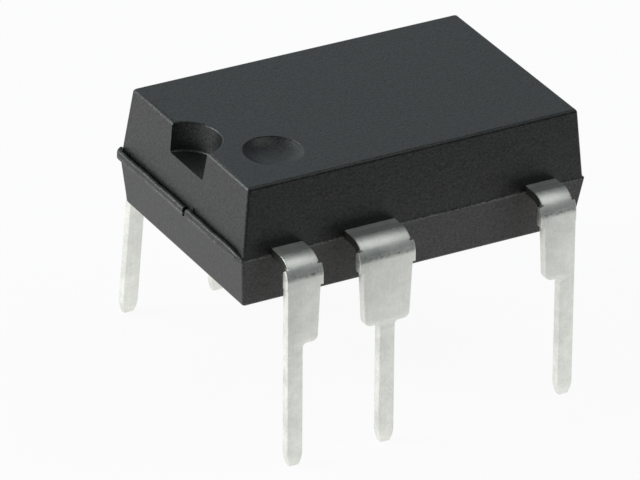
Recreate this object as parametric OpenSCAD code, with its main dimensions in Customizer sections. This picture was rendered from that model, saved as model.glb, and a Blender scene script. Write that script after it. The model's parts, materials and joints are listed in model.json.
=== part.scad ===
// Dual in-line package with eight lead positions and seven leads, in millimetres.
// X runs along the body and the notched end is at -X. Y runs across it, with pins 1 to 4 at -Y.
// Z is up. The lead tips stand on z = 0 and the origin lies under the middle of the package.

/* [Lead grid] */
// Distance from one lead position to the next
pitch = 2.54; // [2.5:0.01:2.6]
// Distance from the body's side to the outside of a bend
lead_out = 0.855; // [0.75:0.005:1.1]
// Height of the lead frame's top face above the lead tips
frame_top = 5.38; // [4.6:0.02:6]
// Thickness of the lead frame sheet
sheet_t = 0.25; // [0.2:0.01:0.35]
// Outer radius of the bend outside the body
bend_r = 0.55; // [0.4:0.01:0.8]
// Angle by which the leads lean outwards
splay = 4; // [0:0.5:12]

/* [Lead outline] */
// Half width where a lead leaves the body
run_hw = 0.7; // [0.5:0.01:0.85]
// Half width over the cut ends of the dam bar
ear_hw = 0.77; // [0.6:0.01:0.9]
// Depth below the frame's top where the dam bar's cut ends begin
ear_from = 0.17; // [0.05:0.01:0.5]
// Height of the dam bar's cut ends
ear_h = 0.55; // [0.3:0.01:0.8]
// Half width of the shoulder at its upper end
shoulder_hw = 0.69; // [0.5:0.01:0.8]
// Half width of the shoulder at its lower end
shoulder_low_hw = 0.62; // [0.45:0.01:0.8]
// Depth of the shoulder's lower edge below the frame's top
shoulder_drop = 2.16; // [1.6:0.01:2.6]
// Radius on the shoulder's lower corners
shoulder_r = 0.14; // [0.05:0.01:0.25]
// Radius in the corner between shoulder and narrow leg
neck_r = 0.12; // [0.05:0.01:0.25]
// Half width of the narrow leg
leg_hw = 0.21; // [0.15:0.005:0.28]
// Half width of an end lead on its outer side above the dam bar
end_hw = 0.16; // [0.12:0.01:0.3]
// Half width of an end lead on its outer side at the dam bar
end_ear_hw = 0.225; // [0.15:0.005:0.35]
// Height of the tapered tip
tip_h = 0.3; // [0.1:0.01:0.6]
// Half width at the very tip
tip_hw = 0.14; // [0.08:0.01:0.2]
// Height of the bevels on the faces of the tip
tip_bevel_h = 0.16; // [0.05:0.01:0.4]
// Depth of the bevels on the faces of the tip
tip_bevel = 0.05; // [0.01:0.005:0.1]

/* [Body] */
// Length of the lower half at the parting ledge
body_l = 9.58; // [9:0.02:10.2]
// Width of the lower half at the parting ledge
body_w = 6.07; // [5.8:0.01:6.6]
// Height of the top face above the frame's top
upper_h = 1.66; // [1.2:0.01:2.2]
// Depth of the underside below the frame's top
lower_h = 1.5; // [1.1:0.01:2]
// Depth of the parting ledge below the frame's top
parting_drop = 0.15; // [0.05:0.01:0.24]
// Width of the ledge by which the lower half is larger
ledge = 0.04; // [0.01:0.005:0.12]
// Draft angle of the upper half
upper_draft = 5.4; // [3:0.1:12]
// Draft angle of the lower half
lower_draft = 6.8; // [3:0.1:12]
// Radius on the edges of the top face and the underside
edge_r = 0.06; // [0.03:0.01:0.2]
// Number of flats that make up that radius
edge_steps = 4; // [2:1:8]
// Distance by which the lip stands beyond the notched end of the lower half
lip_proud = 0.14; // [0.05:0.01:0.3]
// Distance of the lip's ends inside the lower half's sides
lip_inset = 0.02; // [0.01:0.005:0.04]
// Height by which the lip stands proud of the frame's sheet on each side
lip_extra = 0.01; // [0.005:0.005:0.04]
// Radius of the lip's corners
lip_r = 0.12; // [0.05:0.01:0.3]

/* [Notch and pin 1 mark] */
// Radius of the notch at the top face
notch_r = 0.86; // [0.5:0.01:1.2]
// Radius of the notch at its floor
notch_floor_r = 0.8; // [0.5:0.01:1.2]
// Depth of the notch's floor below the top face
notch_depth = 0.75; // [0.3:0.01:1.2]
// Distance of the notch's axis inside the end of the top face
notch_inset = -0.1; // [-0.4:0.01:0.4]
// Distance of the pin 1 mark from the middle, along X
mark_x = 3.1; // [2:0.01:3.8]
// Distance of the pin 1 mark from the middle, along Y
mark_y = 1.41; // [0.8:0.01:2.2]
// Radius of the pin 1 mark at the top face
mark_r = 0.73; // [0.4:0.01:1]
// Depth of the pin 1 mark's dished floor
mark_depth = 0.16; // [0.05:0.01:0.3]
// Depth of the straight wall around the mark
mark_wall = 0.05; // [0.01:0.01:0.15]

/* [Tie bars] */
// Distance of the tie bars from the middle, along Y
tie_y = 0.6; // [0.4:0.01:1]
// Width of a tie bar
tie_w = 0.3; // [0.2:0.01:0.5]
// Distance by which the tie bar stands beyond the plain end of the lower half
tie_proud = 0.03; // [0.01:0.01:0.2]
// Depth at which the other tie bar ends behind the notched end
tie_cover = 0.1; // [0.05:0.01:0.3]
// Width of the slit in the lip beside the tie bar
lip_slit = 0.12; // [0.08:0.01:0.6]
// Distance of the slit from the middle of the body
lip_slit_y = 0.36; // [0.3:0.01:0.8]

/* [Inside] */
// Length of the die pad
pad_l = 3.6; // [2.8:0.05:4]
// Width of the die pad
pad_w = 2.5; // [2:0.05:2.8]
// Position of the die pad along X
pad_x = 0.3; // [0:0.05:0.5]
// Position of the die pad along Y
pad_y = 0.45; // [0.3:0.05:0.6]
// Length of the die
die_l = 2.4; // [1.2:0.05:3]
// Width of the die
die_w = 1.6; // [1:0.05:2]
// Thickness of the die
die_t = 0.28; // [0.15:0.01:0.4]
// Thickness of the layer under the die
attach_t = 0.03; // [0.02:0.005:0.08]
// Width by which that layer shows around the die
attach_rim = 0.06; // [0:0.01:0.15]
// Distance between a finger and the pad
finger_gap = 0.25; // [0.15:0.01:0.4]
// Width of a finger near the pad, and of the bar that joins the back row to the pad
finger_w = 0.6; // [0.4:0.05:0.8]
// Length by which a lead runs straight into the body
finger_root = 0.28; // [0.15:0.01:0.5]
// Radius of the holes that lock the moulding
lock_r = 0.2; // [0.1:0.01:0.3]
// Diameter of the bond wires
wire_d = 0.05; // [0.03:0.005:0.08]
// Radius of the bonded end of a wire
bond_r = 0.07; // [0.05:0.005:0.12]
// Distance of a bond from the edge of the die or finger
bond_in = 0.15; // [0.1:0.01:0.25]
// Thickness of the bonded end of a wire
bond_t = 0.04; // [0.02:0.005:0.08]
// Height of a wire's loop above the die
loop_h = 0.32; // [0.2:0.01:0.6]
// Radius of a wire's two bends
loop_r = 0.12; // [0.08:0.01:0.2]

/* [Output] */
// Piece to build, or all

/* [Hidden] */
$fn = 64;
eps = 0.01;
frame_bottom = frame_top - sheet_t;
body_top = frame_top + upper_h;
body_bottom = frame_top - lower_h;
parting_z = frame_top - parting_drop;
end_x = 1.5 * pitch;
mid_x = 0.5 * pitch;
lower_hl = body_l / 2;
lower_hw = body_w / 2;
upper_hl = lower_hl - ledge;
upper_hw = lower_hw - ledge;
lip_reach = lower_hl + lip_proud;
notch_x = -upper_hl + (body_top - parting_z) * tan(upper_draft) + notch_inset;
row_span = body_w + 2 * lead_out;
bend_y = row_span / 2 - bend_r;
bend_z = frame_top - bend_r;
bend_ri = bend_r - sheet_t;
ear_top = frame_top - ear_from;
ear_low = ear_top - ear_h;
shoulder_z = frame_top - shoulder_drop;
exit_y = lower_hw + sheet_t / 2;
pad_left = pad_x - pad_l / 2;
pad_right = pad_x + pad_l / 2;
pad_front = pad_y - pad_w / 2;
pad_back = pad_y + pad_w / 2;
bus_y = pad_back + finger_w;
finger_y = pad_front - finger_gap;
tip_1_y = -tie_y - tie_w / 2 - finger_gap;
root_y = lower_hw - finger_root;
turn_y = root_y - finger_w;
die_left = pad_x - die_l / 2;
die_right = pad_x + die_l / 2;
bond_front = pad_y - die_w / 2 + bond_in;
bond_back = pad_y + die_w / 2 - bond_in;
die_base = frame_top + attach_t;
die_top = die_base + die_t;

// Trapezium of one half of the body, from the ledge to the outer face, with round outer corners
module half_profile(base_hw, height, draft) {
    centre_x = base_hw - height * tan(draft) - edge_r / tan((90 + draft) / 2);
    corner = [for (i = [0:edge_steps]) draft + (90 - draft) * i / edge_steps];
    right = [for (t = corner) [centre_x + edge_r * cos(t), height - edge_r + edge_r * sin(t)]];
    left = [for (i = [0:edge_steps]) [-right[edge_steps - i][0], right[edge_steps - i][1]]];
    polygon(concat([[-base_hw, 0], [base_hw, 0]], right, left));
}

// Extrudes a profile drawn in X and Z along Y, centred
module along_y(length) {
    rotate([90, 0, 0])
        linear_extrude(height = length, center = true)
            children();
}

// Extrudes a profile drawn in Y and Z along X, centred
module along_x(length) {
    rotate([90, 0, 90])
        linear_extrude(height = length, center = true)
            children();
}

module upper_half() {
    height = body_top - parting_z;
    translate([0, 0, parting_z])
        intersection() {
            along_y(2 * body_w)
                half_profile(upper_hl, height, upper_draft);
            along_x(2 * body_l)
                half_profile(upper_hw, height, upper_draft);
        }
}

module lower_half() {
    height = parting_z - body_bottom;
    translate([0, 0, parting_z])
        mirror([0, 0, 1])
            intersection() {
                along_y(2 * body_w)
                    half_profile(lower_hl, height, lower_draft);
                along_x(2 * body_l)
                    half_profile(lower_hw, height, lower_draft);
            }
}

// Flash left standing at the parting line of the notched end, with a slit beside the tie bar
module lip() {
    inner_x = lip_proud - upper_hl;
    corner_y = lower_hw - lip_inset - lip_r;
    translate([0, 0, frame_bottom - lip_extra])
        linear_extrude(height = sheet_t + 2 * lip_extra)
            difference() {
                union() {
                    translate([-lip_reach, -corner_y])
                        square([lip_reach + inner_x, 2 * corner_y]);
                    translate([-lip_reach + lip_r, -corner_y - lip_r])
                        square([lip_reach + inner_x - lip_r, 2 * corner_y + 2 * lip_r]);
                    for (side = [-1, 1])
                        translate([-lip_reach + lip_r, side * corner_y])
                            circle(r = lip_r);
                }
                translate([-lip_reach - 1, -lip_slit_y - lip_slit / 2])
                    square([lip_reach + 2 + inner_x, lip_slit]);
            }
}

module notch() {
    translate([notch_x, 0, 0])
        translate([0, 0, body_top - notch_depth])
            cylinder(h = notch_depth, r1 = notch_floor_r, r2 = notch_r);
    translate([notch_x, 0, body_top])
        cylinder(h = 1, r = notch_r);
}

module pin_1_mark() {
    dish_r = (mark_r * mark_r + mark_depth * mark_depth) / (2 * mark_depth);
    translate([-mark_x, -mark_y, body_top - mark_wall]) {
        cylinder(h = 1, r = mark_r);
        intersection() {
            translate([0, 0, dish_r - mark_depth])
                sphere(r = dish_r);
            translate([0, 0, -1])
                cylinder(h = 1, r = mark_r);
        }
    }
}

module moulded_body() {
    color("#3a3c3b")
        difference() {
            union() {
                upper_half();
                lower_half();
                lip();
            }
            notch();
            pin_1_mark();
            source_sheet();
            lead_1_finger();
            lead_2_finger();
            lead_4_finger();
            die_attach();
            silicon_die();
            wire_to_lead_1();
            wire_to_lead_2();
            wire_a_to_lead_4();
            wire_b_to_lead_4();
            wire_a_to_frame();
            wire_b_to_frame();
        }
}

// Side view of a lead of the front row, drawn with outwards to the left
module bent_strip() {
    c = cos(splay);
    s = sin(splay);
    outer = [-bend_y - bend_r * c, bend_z + bend_r * s];
    inner = [-bend_y - bend_ri * c, bend_z + bend_ri * s];
    outer_foot = outer[0] - outer[1] * tan(splay);
    inner_foot = inner[0] - inner[1] * tan(splay);
    lean = tip_bevel_h * tan(splay);
    translate([-bend_y, frame_bottom])
        square([bend_y - lower_hw - eps, sheet_t]);
    intersection() {
        difference() {
            translate([-bend_y, bend_z])
                circle(r = bend_r);
            translate([-bend_y, bend_z])
                circle(r = bend_ri);
        }
        polygon([
            [-bend_y, bend_z],
            [-bend_y, bend_z + 2 * bend_r],
            [-bend_y - 2 * bend_r, bend_z + 2 * bend_r],
            [-bend_y - 2 * bend_r * c, bend_z + 2 * bend_r * s]
        ]);
    }
    polygon([
        outer,
        [outer_foot + lean, tip_bevel_h],
        [outer_foot + tip_bevel, 0],
        [inner_foot - tip_bevel, 0],
        [inner_foot + lean, tip_bevel_h],
        inner
    ]);
}

// Right half of a lead seen from the front: the full shoulder or the plain outer side of an end lead
module half_front(full) {
    top_z = frame_top + eps;
    if (full) {
        low_hw = shoulder_low_hw;
        polygon([
            [-eps, 0],
            [tip_hw, 0],
            [leg_hw, tip_h],
            [leg_hw, shoulder_z],
            [low_hw - shoulder_r, shoulder_z],
            [low_hw, shoulder_z + shoulder_r],
            [shoulder_hw, ear_low],
            [ear_hw, ear_low],
            [ear_hw, ear_top],
            [run_hw, ear_top],
            [run_hw, top_z],
            [-eps, top_z]
        ]);
        translate([low_hw - shoulder_r, shoulder_z + shoulder_r])
            circle(r = shoulder_r);
        difference() {
            translate([leg_hw - eps, shoulder_z - neck_r])
                square([neck_r + eps, neck_r + eps]);
            translate([leg_hw + neck_r, shoulder_z - neck_r])
                circle(r = neck_r);
        }
    } else {
        polygon([
            [-eps, 0],
            [tip_hw, 0],
            [leg_hw, tip_h],
            [leg_hw, ear_low],
            [end_ear_hw, ear_low],
            [end_ear_hw, ear_top],
            [end_hw, ear_top],
            [end_hw, top_z],
            [-eps, top_z]
        ]);
    }
}

// Outer part of one front lead at x, from inside the body's edge to the tip
module outer_lead(x, full_left, full_right) {
    translate([x, 0, 0])
        intersection() {
            along_x(4 * ear_hw)
                bent_strip();
            translate([0, -row_span / 2, 0])
                along_y(row_span)
                    union() {
                        half_front(full_right);
                        mirror([1, 0])
                            half_front(full_left);
                    }
        }
}

// Sheet metal of the frame inside the body, cut to the outline given as children
module frame_sheet() {
    translate([0, 0, frame_bottom])
        linear_extrude(height = sheet_t)
            children();
}

module lead_1_finger() {
    tip_x = pad_left - finger_gap;
    frame_sheet()
        difference() {
            polygon([
                [-end_x - end_hw, -exit_y],
                [-end_x + run_hw, -exit_y],
                [-end_x + run_hw, -root_y],
                [tip_x, tip_1_y - finger_w],
                [tip_x, tip_1_y],
                [tip_x - finger_w, tip_1_y],
                [-end_x - end_hw, -turn_y]
            ]);
            translate([-end_x + (run_hw - end_hw) / 2, -(root_y + turn_y) / 2])
                circle(r = lock_r);
        }
}

module lead_1() {
    color("#c6c8c2") {
        outer_lead(-end_x, false, true);
        lead_1_finger();
    }
}

module lead_2_finger() {
    frame_sheet()
        difference() {
            polygon([
                [-mid_x - run_hw, -exit_y],
                [-mid_x + run_hw, -exit_y],
                [-mid_x + run_hw, finger_y],
                [-mid_x, finger_y],
                [-mid_x - run_hw, -turn_y]
            ]);
            translate([-mid_x, -(root_y + turn_y) / 2])
                circle(r = lock_r);
        }
}

module lead_2() {
    color("#c6c8c2") {
        outer_lead(-mid_x, true, true);
        lead_2_finger();
    }
}

module lead_4_finger() {
    frame_sheet()
        difference() {
            polygon([
                [end_x - run_hw, -exit_y],
                [end_x + end_hw, -exit_y],
                [end_x + end_hw, -turn_y],
                [end_x - run_hw, finger_y],
                [mid_x, finger_y],
                [mid_x, finger_y - finger_w],
                [end_x - run_hw - finger_w, finger_y - finger_w],
                [end_x - run_hw, -root_y]
            ]);
            translate([end_x - (run_hw - end_hw) / 2, -(root_y + turn_y) / 2])
                circle(r = lock_r);
        }
}

module lead_4() {
    color("#c6c8c2") {
        outer_lead(end_x, true, false);
        lead_4_finger();
    }
}

// Right half of the back sheet's outline, with the pad's edge and the tie bar's end given
function sheet_side(pad_edge, tie_end) = [
    [pad_edge, pad_front],
    [pad_edge, -tie_y - tie_w / 2],
    [tie_end, -tie_y - tie_w / 2],
    [tie_end, -tie_y + tie_w / 2],
    [pad_edge, -tie_y + tie_w / 2],
    [pad_edge, pad_back],
    [end_x + end_hw, pad_back],
    [end_x + end_hw, exit_y],
    [end_x - run_hw, exit_y],
    [end_x - run_hw, bus_y],
    [mid_x + run_hw, bus_y],
    [mid_x + run_hw, exit_y],
    [mid_x - run_hw, exit_y],
    [mid_x - run_hw, bus_y]
];

// Die pad with its tie bars and the part of the back row that lies in the body
module source_sheet() {
    right = sheet_side(pad_right, lower_hl + tie_proud);
    left = sheet_side(-pad_left, upper_hl - tie_cover);
    count = len(left);
    frame_sheet()
        difference() {
            polygon(concat(right, [for (i = [1:count]) [-left[count - i][0], left[count - i][1]]]));
            for (x = [-pitch, 0, pitch])
                translate([x, (pad_back + bus_y) / 2])
                    circle(r = lock_r);
        }
}

// Die pad, its tie bars and the four leads of the back row, cut from one sheet
module source_frame() {
    color("#c6c8c2") {
        mirror([0, 1, 0]) {
            outer_lead(-end_x, false, true);
            outer_lead(-mid_x, true, true);
            outer_lead(mid_x, true, true);
            outer_lead(end_x, true, false);
        }
        source_sheet();
    }
}

module die_attach() {
    color("#9aa0a4")
        translate([pad_x - die_l / 2 - attach_rim, pad_y - die_w / 2 - attach_rim, frame_top])
            cube([die_l + 2 * attach_rim, die_w + 2 * attach_rim, attach_t]);
}

module silicon_die() {
    color("#4a5a78")
        translate([pad_x - die_l / 2, pad_y - die_w / 2, die_base])
            cube([die_l, die_w, die_t]);
}

// Wire from a bond on the die to a bond on the frame, each given by its X and Y
module bond_wire(on_die, on_frame) {
    reach = on_frame - on_die;
    span = norm(reach);
    rise_z = die_top + loop_h;
    $fn = 16;
    color("#d9b45a")
        translate(on_die)
            rotate([0, 0, atan2(reach[1], reach[0])]) {
                translate([0, 0, die_top])
                    cylinder(h = bond_t, r = bond_r);
                translate([0, 0, die_top])
                    cylinder(h = loop_h - loop_r, d = wire_d);
                translate([loop_r, 0, rise_z - loop_r])
                    rotate([90, 0, 0])
                        rotate([0, 0, 90])
                            rotate_extrude(angle = 90)
                                translate([loop_r, 0])
                                    circle(d = wire_d);
                translate([loop_r, 0, rise_z])
                    rotate([0, 90, 0])
                        cylinder(h = span - 2 * loop_r, d = wire_d);
                translate([span - loop_r, 0, rise_z - loop_r])
                    rotate([90, 0, 0])
                        rotate_extrude(angle = 90)
                            translate([loop_r, 0])
                                circle(d = wire_d);
                translate([span, 0, frame_top])
                    cylinder(h = rise_z - loop_r - frame_top, d = wire_d);
                translate([span, 0, frame_top])
                    cylinder(h = bond_t, r = bond_r);
            }
}

module wire_to_lead_1() {
    bond_wire([die_left + bond_in, bond_front], [pad_left - finger_gap - bond_in, tip_1_y - bond_in]);
}

module wire_to_lead_2() {
    bond_wire([pad_x - die_l / 4, bond_front], [-mid_x + bond_in, finger_y - bond_in]);
}

module wire_a_to_lead_4() {
    bond_wire([pad_x + die_l / 4, bond_front], [mid_x + bond_in, finger_y - bond_in]);
}

module wire_b_to_lead_4() {
    bond_wire([die_right - bond_in, bond_front], [mid_x + finger_w, finger_y - bond_in]);
}

module wire_a_to_frame() {
    bond_wire([die_left + bond_in, bond_back], [die_left + bond_in, pad_back + finger_w / 2]);
}

module wire_b_to_frame() {
    bond_wire([die_right - bond_in, bond_back], [die_right - bond_in, pad_back + finger_w / 2]);
}

moulded_body();
source_frame();
lead_1();
lead_2();
lead_4();
die_attach();
silicon_die();
wire_to_lead_1();
wire_to_lead_2();
wire_a_to_lead_4();
wire_b_to_lead_4();
wire_a_to_frame();
wire_b_to_frame();
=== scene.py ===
"""Dual in-line integrated circuit with seven leads: looks, stage and camera.

The CAD frame carries the real geometry. The pieces here give the moulding and the
metal their rounded edges, their surface and the lip's true outline. Named sizes are
millimetres in the frame's own axes, and MM turns them to metres.
"""

import json
from math import cos, pi, radians, sin, sqrt, tan

import bmesh
import bpy
from bpy.props import FloatProperty, FloatVectorProperty, IntProperty, PointerProperty
from mathutils import Matrix, Vector

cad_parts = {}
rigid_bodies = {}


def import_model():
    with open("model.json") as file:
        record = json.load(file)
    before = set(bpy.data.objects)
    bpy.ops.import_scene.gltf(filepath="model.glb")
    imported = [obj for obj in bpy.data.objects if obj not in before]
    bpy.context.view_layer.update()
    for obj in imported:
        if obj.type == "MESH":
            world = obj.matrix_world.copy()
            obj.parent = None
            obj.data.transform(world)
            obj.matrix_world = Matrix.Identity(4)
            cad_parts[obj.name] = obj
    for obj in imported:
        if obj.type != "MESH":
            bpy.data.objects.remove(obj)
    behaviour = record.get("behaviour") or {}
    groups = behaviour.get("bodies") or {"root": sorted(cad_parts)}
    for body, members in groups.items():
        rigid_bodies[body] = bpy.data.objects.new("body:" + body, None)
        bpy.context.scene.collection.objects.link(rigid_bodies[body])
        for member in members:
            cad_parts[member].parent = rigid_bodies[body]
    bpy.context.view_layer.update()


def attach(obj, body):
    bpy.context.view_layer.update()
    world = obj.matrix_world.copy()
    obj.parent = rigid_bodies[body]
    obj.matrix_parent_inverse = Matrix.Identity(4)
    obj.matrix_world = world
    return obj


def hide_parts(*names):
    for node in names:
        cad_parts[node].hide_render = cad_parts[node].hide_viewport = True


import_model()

bl_info = {
    "name": "Dual in-line chip",
    "version": (1, 0, 0),
    "blender": (4, 5, 0),
    "location": "View3D > Sidebar > Chip",
    "description": "Builds the looks of a dual in-line integrated circuit",
    "category": "Object",
}

MM = 0.001

# Steps in a quarter round of the body's edges, of the metal's edges and of a lead's outline, and
# steps all round a turned cutter
EDGE_STEPS = 6
METAL_STEPS = 3
OUTLINE_STEPS = 8
TURN_STEPS = 96

# Angles in degrees above which an edge is drawn sharp
BODY_SHARP = 32
METAL_SHARP = 40

# Lead grid and sheet, as in the part's source
PITCH = 2.54
END_X = 1.5 * PITCH
MID_X = 0.5 * PITCH
FRAME_TOP = 5.38
SHEET_T = 0.25
FRAME_BOTTOM = FRAME_TOP - SHEET_T
OVER_BENDS = 7.78
BEND_R = 0.55
BEND_Y = OVER_BENDS / 2 - BEND_R
SPLAY = radians(4.0)

# Lead outline, as in the part's source
RUN_HW = 0.70
EAR_HW = 0.77
EAR_TOP = FRAME_TOP - 0.17
EAR_LOW = EAR_TOP - 0.55
SHOULDER_HW = 0.69
SHOULDER_LOW_HW = 0.62
SHOULDER_Z = FRAME_TOP - 2.16
SHOULDER_R = 0.14
NECK_R = 0.12
LEG_HW = 0.21
END_HW = 0.16
END_EAR_HW = 0.225
TIP_H = 0.30
TIP_HW = 0.14
TIP_BEVEL_H = 0.16
TIP_BEVEL = 0.05

# Nick above an ear, where the dam bar was cut off
EAR_SLIT = 0.035

# Crease that the forming tool leaves across a lead under its bend, and a band of painted shade along it
CREASE_Z = FRAME_TOP - 0.375
CREASE_HH = 0.04
CREASE_DEPTH = 0.003
CREASE_ROW_GAP = 0.012
CREASE_SHADE_Z = CREASE_Z - 0.02
CREASE_SHADE_FADE = (0.11, 0.02)

# Painted shade on a lead's cut sides, each from where it starts to show to where it is whole: on their
# upper part, near the body, and at its lower end
SIDE_SHADE_HIGH = (EAR_TOP - 0.05, EAR_TOP - 0.01)
SIDE_SHADE_NEAR = (BEND_Y + 0.36, BEND_Y + 0.30)
SIDE_SHADE_LOW = (EAR_TOP - 0.45, EAR_TOP - 0.40)

# Stretch of a lead's flat along which its painted shade darkens and then ends, from the body outwards
FLAT_SHADE_SPAN = (BEND_Y - 0.30, BEND_Y + 0.17)

# Half the distance between the two rows that make a step in a lead's outline
STEP_GAP = 0.0015

# Rows of a lead's flat run, below its ears and of its lower leg, and where the sheet inside ends
RUN_ROWS = (2.50, 2.90, 3.05, BEND_Y - 0.05)
EAR_ROWS = (EAR_LOW - 0.3, EAR_LOW - 0.8)
LEG_ROWS = (2.2, 1.4, 0.8, TIP_H + 0.06, TIP_H, TIP_H - 0.06, TIP_BEVEL_H, 0.06, 0.0)
SHEET_Y = 2.80

# Moulded body, as in the part's source
LOWER_HL = 4.79
LOWER_HW = 3.035
LEDGE = 0.04
PARTING_Z = FRAME_TOP - 0.15
BODY_TOP = FRAME_TOP + 1.66
BODY_BOTTOM = FRAME_TOP - 1.5
UPPER_DRAFT = tan(radians(5.4))
LOWER_DRAFT = tan(radians(6.8))
UPPER_HL = LOWER_HL - LEDGE
TOP_HL = UPPER_HL - (BODY_TOP - PARTING_Z) * UPPER_DRAFT

# The ledge's broken outer edge and its small inner fillet, and the painted highlight line below and above
# that edge
LEDGE_BREAK = 0.015
LEDGE_FILLET_W = 0.012
LEDGE_FILLET_H = 0.015
LEDGE_RISE = 0.002
LEDGE_HIGHLIGHT_BELOW = (PARTING_Z - 0.05, PARTING_Z - 0.02)
LEDGE_HIGHLIGHT_ABOVE = (PARTING_Z + 0.008, PARTING_Z + 0.001)

# Notch, with its centre a little outside the top face, and pin 1 mark
NOTCH_OUT = 0.1
NOTCH_X = -TOP_HL - NOTCH_OUT
NOTCH_R = 0.86
NOTCH_FLOOR_R = 0.80
NOTCH_DEPTH = 0.75
NOTCH_FILLET = 0.06
NOTCH_RIM = 0.05
MARK = (-3.10, -1.41)
MARK_R = 0.73
MARK_DEPTH = 0.21
MARK_RIM = 0.02
MARK_DISH_R = MARK_R - 0.01
MARK_DISH_TOP = MARK_RIM + 0.005
MARK_STEPS = 24
MARK_POWER = 3.4
CUT_ABOVE = 0.4
CUT_PROUD = 0.001

# Lip along the parting line at the notched end, with the slit across it
LIP_END_Y = LOWER_HW - 0.02
LIP_SLIT = (-0.42, -0.30)
LIP_X = -LOWER_HL - 0.13
LIP_ROOT_X = -4.5
LIP_BASE = FRAME_BOTTOM - 0.01
LIP_TOP_R = 0.062
LIP_LOW_R = 0.060
LIP_STEPS = 72
LIP_TOP_STEPS = 7
LIP_LOW_STEPS = 6

# How far the lip draws back along its length, and how it sinks at its near end and rounds at its far one
LIP_TAPER = 0.05
SINK_L = 0.60
SINK_BACK = 0.09
SINK_DEPTH = 0.12
FAR_L = 0.12
FAR_BACK = 0.10

# Groove behind the lip, and the bump beside the slit that fills it
GROOVE_DEPTH = 0.16
GROOVE_FLOOR = LIP_BASE + 0.03
GROOVE_X = -LOWER_HL + 0.03
GROOVE_GAP = 0.005
BUMP_Y = -0.54
BUMP_HW = 0.12
BUMP_FILL = 0.24
BUMP_RISE = 0.03

# Sheet inside the body, as in the part's source
TIE_Y = -0.60
TIE_W = 0.30
TIE_END = LOWER_HL + 0.03
TIE_HIDDEN_END = UPPER_HL - 0.10
PAD_X, PAD_Y = 0.30, 0.45
PAD_L, PAD_W = 3.60, 2.50
PAD_LEFT, PAD_RIGHT = PAD_X - PAD_L / 2, PAD_X + PAD_L / 2
PAD_FRONT, PAD_BACK = PAD_Y - PAD_W / 2, PAD_Y + PAD_W / 2
FINGER_W = 0.60
FINGER_GAP = 0.25
FINGER_ROOT = 0.28
FINGER_Y = PAD_FRONT - FINGER_GAP
TIP_1_X = PAD_LEFT - FINGER_GAP
TIP_1_Y = TIE_Y - TIE_W / 2 - FINGER_GAP
ROOT_Y = LOWER_HW - FINGER_ROOT
TURN_Y = ROOT_Y - FINGER_W
BUS_Y = PAD_BACK + FINGER_W

# Where the tie bar's own end takes over from the sheet, and how far its edges are broken
TIE_STUB = 4.20
TIE_OVERLAP = 0.20
TIE_EDGE = 0.02

# Widths of the materials' patterns, from how many fit in a millimetre
COMPOUND_CLOUD = 1 / 0.9
TIN_CRYSTAL = 1 / 14
TIN_BLOTCH = 1 / 2.2
ROLLING_LINE = (1 / 22, 1 / 2, 1 / 1.4)
SHEET_HAZE = 1 / 0.9

# Stage: lamps as direction and angle, the white sheet's fade and the surround's two levels
KEY_DIRECTION, KEY_ANGLE = (-0.80, 0.48, 0.36), 40
TOP_DIRECTION, TOP_ANGLE = (0.35, -0.25, 0.9), 45
LAMP_DISTANCE = 200
FADE_DIRECTION = (0.15, 0.99, 0.0)
FADE_NEAR, FADE_FAR = 13.5, 19.0
FADE_LEVEL = 0.13
SKY_COLOUR = "#e2edf2"
SKY_DIRECTION = (-0.45, 0.89, 0.0)
SKY_START = -0.15
SKY_DARK, SKY_BRIGHT = 0.36, 1.95
EVEN_SHARE = 0.6

# Camera fitted to the photo's corners: degrees of turn, tilt and roll, then place and lens
CAMERA_TURN = -31.5975
CAMERA_TILT = 60.9275
CAMERA_ROLL = 2.7302
CAMERA_PLACE = (-70.3415, -113.0340, 77.1163)
CAMERA_LENS = 350.41
CAMERA_SENSOR = 36.0


def linear(hex_colour):
    """An sRGB hex colour as linear RGBA."""
    values = [int(hex_colour[i : i + 2], 16) / 255 for i in (1, 3, 5)]
    out = [v / 12.92 if v <= 0.04045 else ((v + 0.055) / 1.055) ** 2.4 for v in values]
    return (*out, 1.0)


# Sizes and colours that a user would change
class ChipBodySettings(bpy.types.PropertyGroup):
    edge_radius: FloatProperty(
        name="Edge radius",
        description="Rounding along the edges of the top face and the underside",
        default=0.08 * MM,
        min=0.02 * MM,
        max=0.3 * MM,
        precision=5,
        subtype="DISTANCE",
        unit="LENGTH",
    )
    corner_radius: FloatProperty(
        name="Corner radius",
        description="Rounding of the four upright edges",
        default=0.06 * MM,
        min=0.02 * MM,
        max=0.4 * MM,
        precision=5,
        subtype="DISTANCE",
        unit="LENGTH",
    )
    grain_size: FloatProperty(
        name="Grain size",
        description="Size of one grain of the spark-eroded mould texture",
        default=0.04 * MM,
        min=0.01 * MM,
        max=0.3 * MM,
        precision=6,
        subtype="DISTANCE",
        unit="LENGTH",
    )
    colour: FloatVectorProperty(
        name="Compound colour",
        description="Colour of the moulding compound",
        subtype="COLOR",
        size=3,
        min=0.0,
        max=1.0,
        default=linear("#121412")[:3],
    )


class ChipLeadSettings(bpy.types.PropertyGroup):
    edge_radius: FloatProperty(
        name="Edge radius",
        description="Rounding along the punched edges of the leads",
        default=0.03 * MM,
        min=0.01 * MM,
        max=0.1 * MM,
        precision=6,
        subtype="DISTANCE",
        unit="LENGTH",
    )
    bend_steps: IntProperty(
        name="Bend steps",
        description="Number of steps round the bend of a lead",
        default=24,
        min=6,
        max=64,
    )
    colour: FloatVectorProperty(
        name="Tin colour",
        description="Colour of the matte tin plating",
        subtype="COLOR",
        size=3,
        min=0.0,
        max=1.0,
        default=linear("#eff0ea")[:3],
    )


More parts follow.
